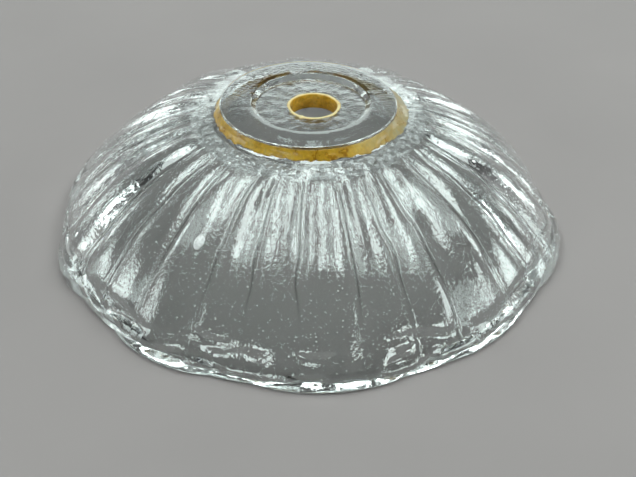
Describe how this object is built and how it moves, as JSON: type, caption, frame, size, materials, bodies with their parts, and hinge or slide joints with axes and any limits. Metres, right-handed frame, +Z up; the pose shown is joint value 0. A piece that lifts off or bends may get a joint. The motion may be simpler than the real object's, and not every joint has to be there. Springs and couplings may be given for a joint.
{
  "type": "glass lamp dish",
  "caption": "Clear pressed-glass dish with a fluted bowl, scalloped rim, raised round foot with a shallow recess and an amber-lined centre hole.",
  "frame": {"origin": "centre of the scalloped rim, on the plane the rim stands on", "axes": "+Z up from the rim to the foot, along the bowl's axis; -Y is the pictured front"},
  "size_m": [0.1162, 0.117, 0.0308],
  "materials": {
    "clear_glass": "clear pressed glass with an orange-peel surface, fine pits and seeds",
    "amber_band": "mottled mustard-amber skin, slightly glossy, ragged lower edge",
    "amber_lining": "saturated orange-amber skin, slightly glossy"
  },
  "bodies": {
    "root": {"dish_pressing": "clear_glass", "amber_foot_band": "amber_band", "amber_hole_lining": "amber_lining"}
  },
  "joints": []
}
